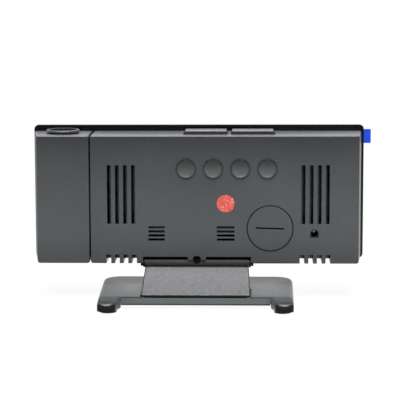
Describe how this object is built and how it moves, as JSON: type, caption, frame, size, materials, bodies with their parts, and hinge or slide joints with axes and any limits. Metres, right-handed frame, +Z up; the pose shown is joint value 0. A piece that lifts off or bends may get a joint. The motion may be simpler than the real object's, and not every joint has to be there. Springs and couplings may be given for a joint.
{
  "type": "projection alarm clock",
  "caption": "Slim desk alarm clock with a mirrored front, rear buttons, top bars and a turning projector section with a focus ring, tilting on a flat stand.",
  "frame": {"origin": "on the table under the middle of the bounding box, with the head upright", "axes": "+X along the clock's width towards the projector section, +Y towards the rear with the buttons, +Z up; the display faces -Y"},
  "size_m": [0.1922, 0.074, 0.0953],
  "materials": {
    "housing": "fine matte",
    "base": "satin",
    "arm": "satin",
    "neck_grey": "spark-eroded texture",
    "bar_grey": "satin",
    "button_grey": "satin",
    "black_frame": "matte",
    "front_panel": "dark mirror",
    "clear_film": "clear film",
    "blue_film": "blue film",
    "ring_grey": "satin",
    "black_plastic": "matte",
    "white_plastic": "matte",
    "board_green": "solder mask",
    "steel": "zinc plated",
    "spring_metal": "bright",
    "cell_metal": "bright",
    "sticker": "printed vinyl",
    "optic": "polished",
    "wire": "insulated wire",
    "foot_rubber": "matte"
  },
  "bodies": {
    "stand": {"base_top": "base", "base_cover": "arm", "ballast_plate": "steel", "base_feet": "foot_rubber", "base_screws": "steel", "neck_core": "arm", "neck_cover": "neck_grey", "neck_screws": "steel"},
    "head": {"hinge_pin": "steel", "hinge_washers": "black_plastic", "rear_housing": "housing", "front_frame": "black_frame", "mirror_panel": "front_panel", "display_film": "clear_film", "film_tab": "blue_film", "frame_screws": "steel", "digit_block": "white_plastic", "digit_diffuser": "white_plastic", "main_board": "board_green", "board_screws": "steel", "board_chips": "black_plastic", "button_board": "board_green", "rear_switches": "spring_metal", "bar_board": "board_green", "bar_switches": "spring_metal", "power_socket": "black_plastic", "socket_pin": "spring_metal", "buzzer": "black_plastic", "cell_contact": "spring_metal", "side_contact": "spring_metal", "coin_cell": "cell_metal", "marker_sticker": "sticker", "axle_washer": "spring_metal", "wire_loom": "wire"},
    "projector": {"projector_housing": "housing", "projector_frame": "black_frame", "projector_panel": "front_panel", "projector_screws": "steel", "hollow_axle": "black_plastic", "axle_clip": "steel", "lamp_board": "board_green", "lamp_screws": "steel", "lamp_led": "white_plastic", "condenser_lens": "optic", "image_lcd": "optic", "lens_tube": "black_plastic"},
    "set_key": {"set_button": "button_grey"},
    "up_key": {"up_button": "button_grey"},
    "down_key": {"down_button": "button_grey"},
    "mode_key": {"mode_button": "button_grey"},
    "snooze_key": {"snooze_bar": "bar_grey"},
    "light_key": {"light_bar": "bar_grey"},
    "cell_door": {"battery_cover": "housing"},
    "ring": {"focus_ring": "ring_grey"},
    "lens": {"lens_cell": "black_plastic", "projection_lens": "optic"}
  },
  "joints": [
    {"name": "tilt", "type": "hinge", "parent": "stand", "child": "head", "pos_m": [0, -0.0095, 0.0198], "axis": [-1, 0, 0], "range_deg": [-10, 30]},
    {"name": "projector_turn", "type": "hinge", "parent": "head", "child": "projector", "pos_m": [0.0624, -0.0213, 0.0558], "axis": [1, 0, 0], "range_deg": [-90, 90]},
    {"name": "focus_turn", "type": "hinge", "parent": "projector", "child": "ring", "pos_m": [0.07835, -0.0213, 0.0918], "axis": [0, 0, 1], "range_deg": [0, 120]},
    {"name": "focus_slide", "type": "slide", "parent": "projector", "child": "lens", "axis": [0, 0, -1], "range_m": [0, 0.00199]},
    {"name": "set_press", "type": "slide", "parent": "head", "child": "set_key", "axis": [0, -1, 0], "range_m": [0, 0.0008], "stiffness_N_per_m": 1500},
    {"name": "up_press", "type": "slide", "parent": "head", "child": "up_key", "axis": [0, -1, 0], "range_m": [0, 0.0008], "stiffness_N_per_m": 1500},
    {"name": "down_press", "type": "slide", "parent": "head", "child": "down_key", "axis": [0, -1, 0], "range_m": [0, 0.0008], "stiffness_N_per_m": 1500},
    {"name": "mode_press", "type": "slide", "parent": "head", "child": "mode_key", "axis": [0, -1, 0], "range_m": [0, 0.0008], "stiffness_N_per_m": 1500},
    {"name": "snooze_press", "type": "slide", "parent": "head", "child": "snooze_key", "axis": [0, 0, -1], "range_m": [0, 0.0008], "stiffness_N_per_m": 1800},
    {"name": "light_press", "type": "slide", "parent": "head", "child": "light_key", "axis": [0, 0, -1], "range_m": [0, 0.0008], "stiffness_N_per_m": 1800},
    {"name": "cell_door_turn", "type": "hinge", "parent": "head", "child": "cell_door", "pos_m": [-0.0384, -0.0063, 0.0398], "axis": [0, 1, 0], "range_deg": [0, 50]}
  ],
  "couplings": [
    {"joint": "focus_turn", "follows": "focus_slide", "rad_per_m": 1047.2}
  ]
}
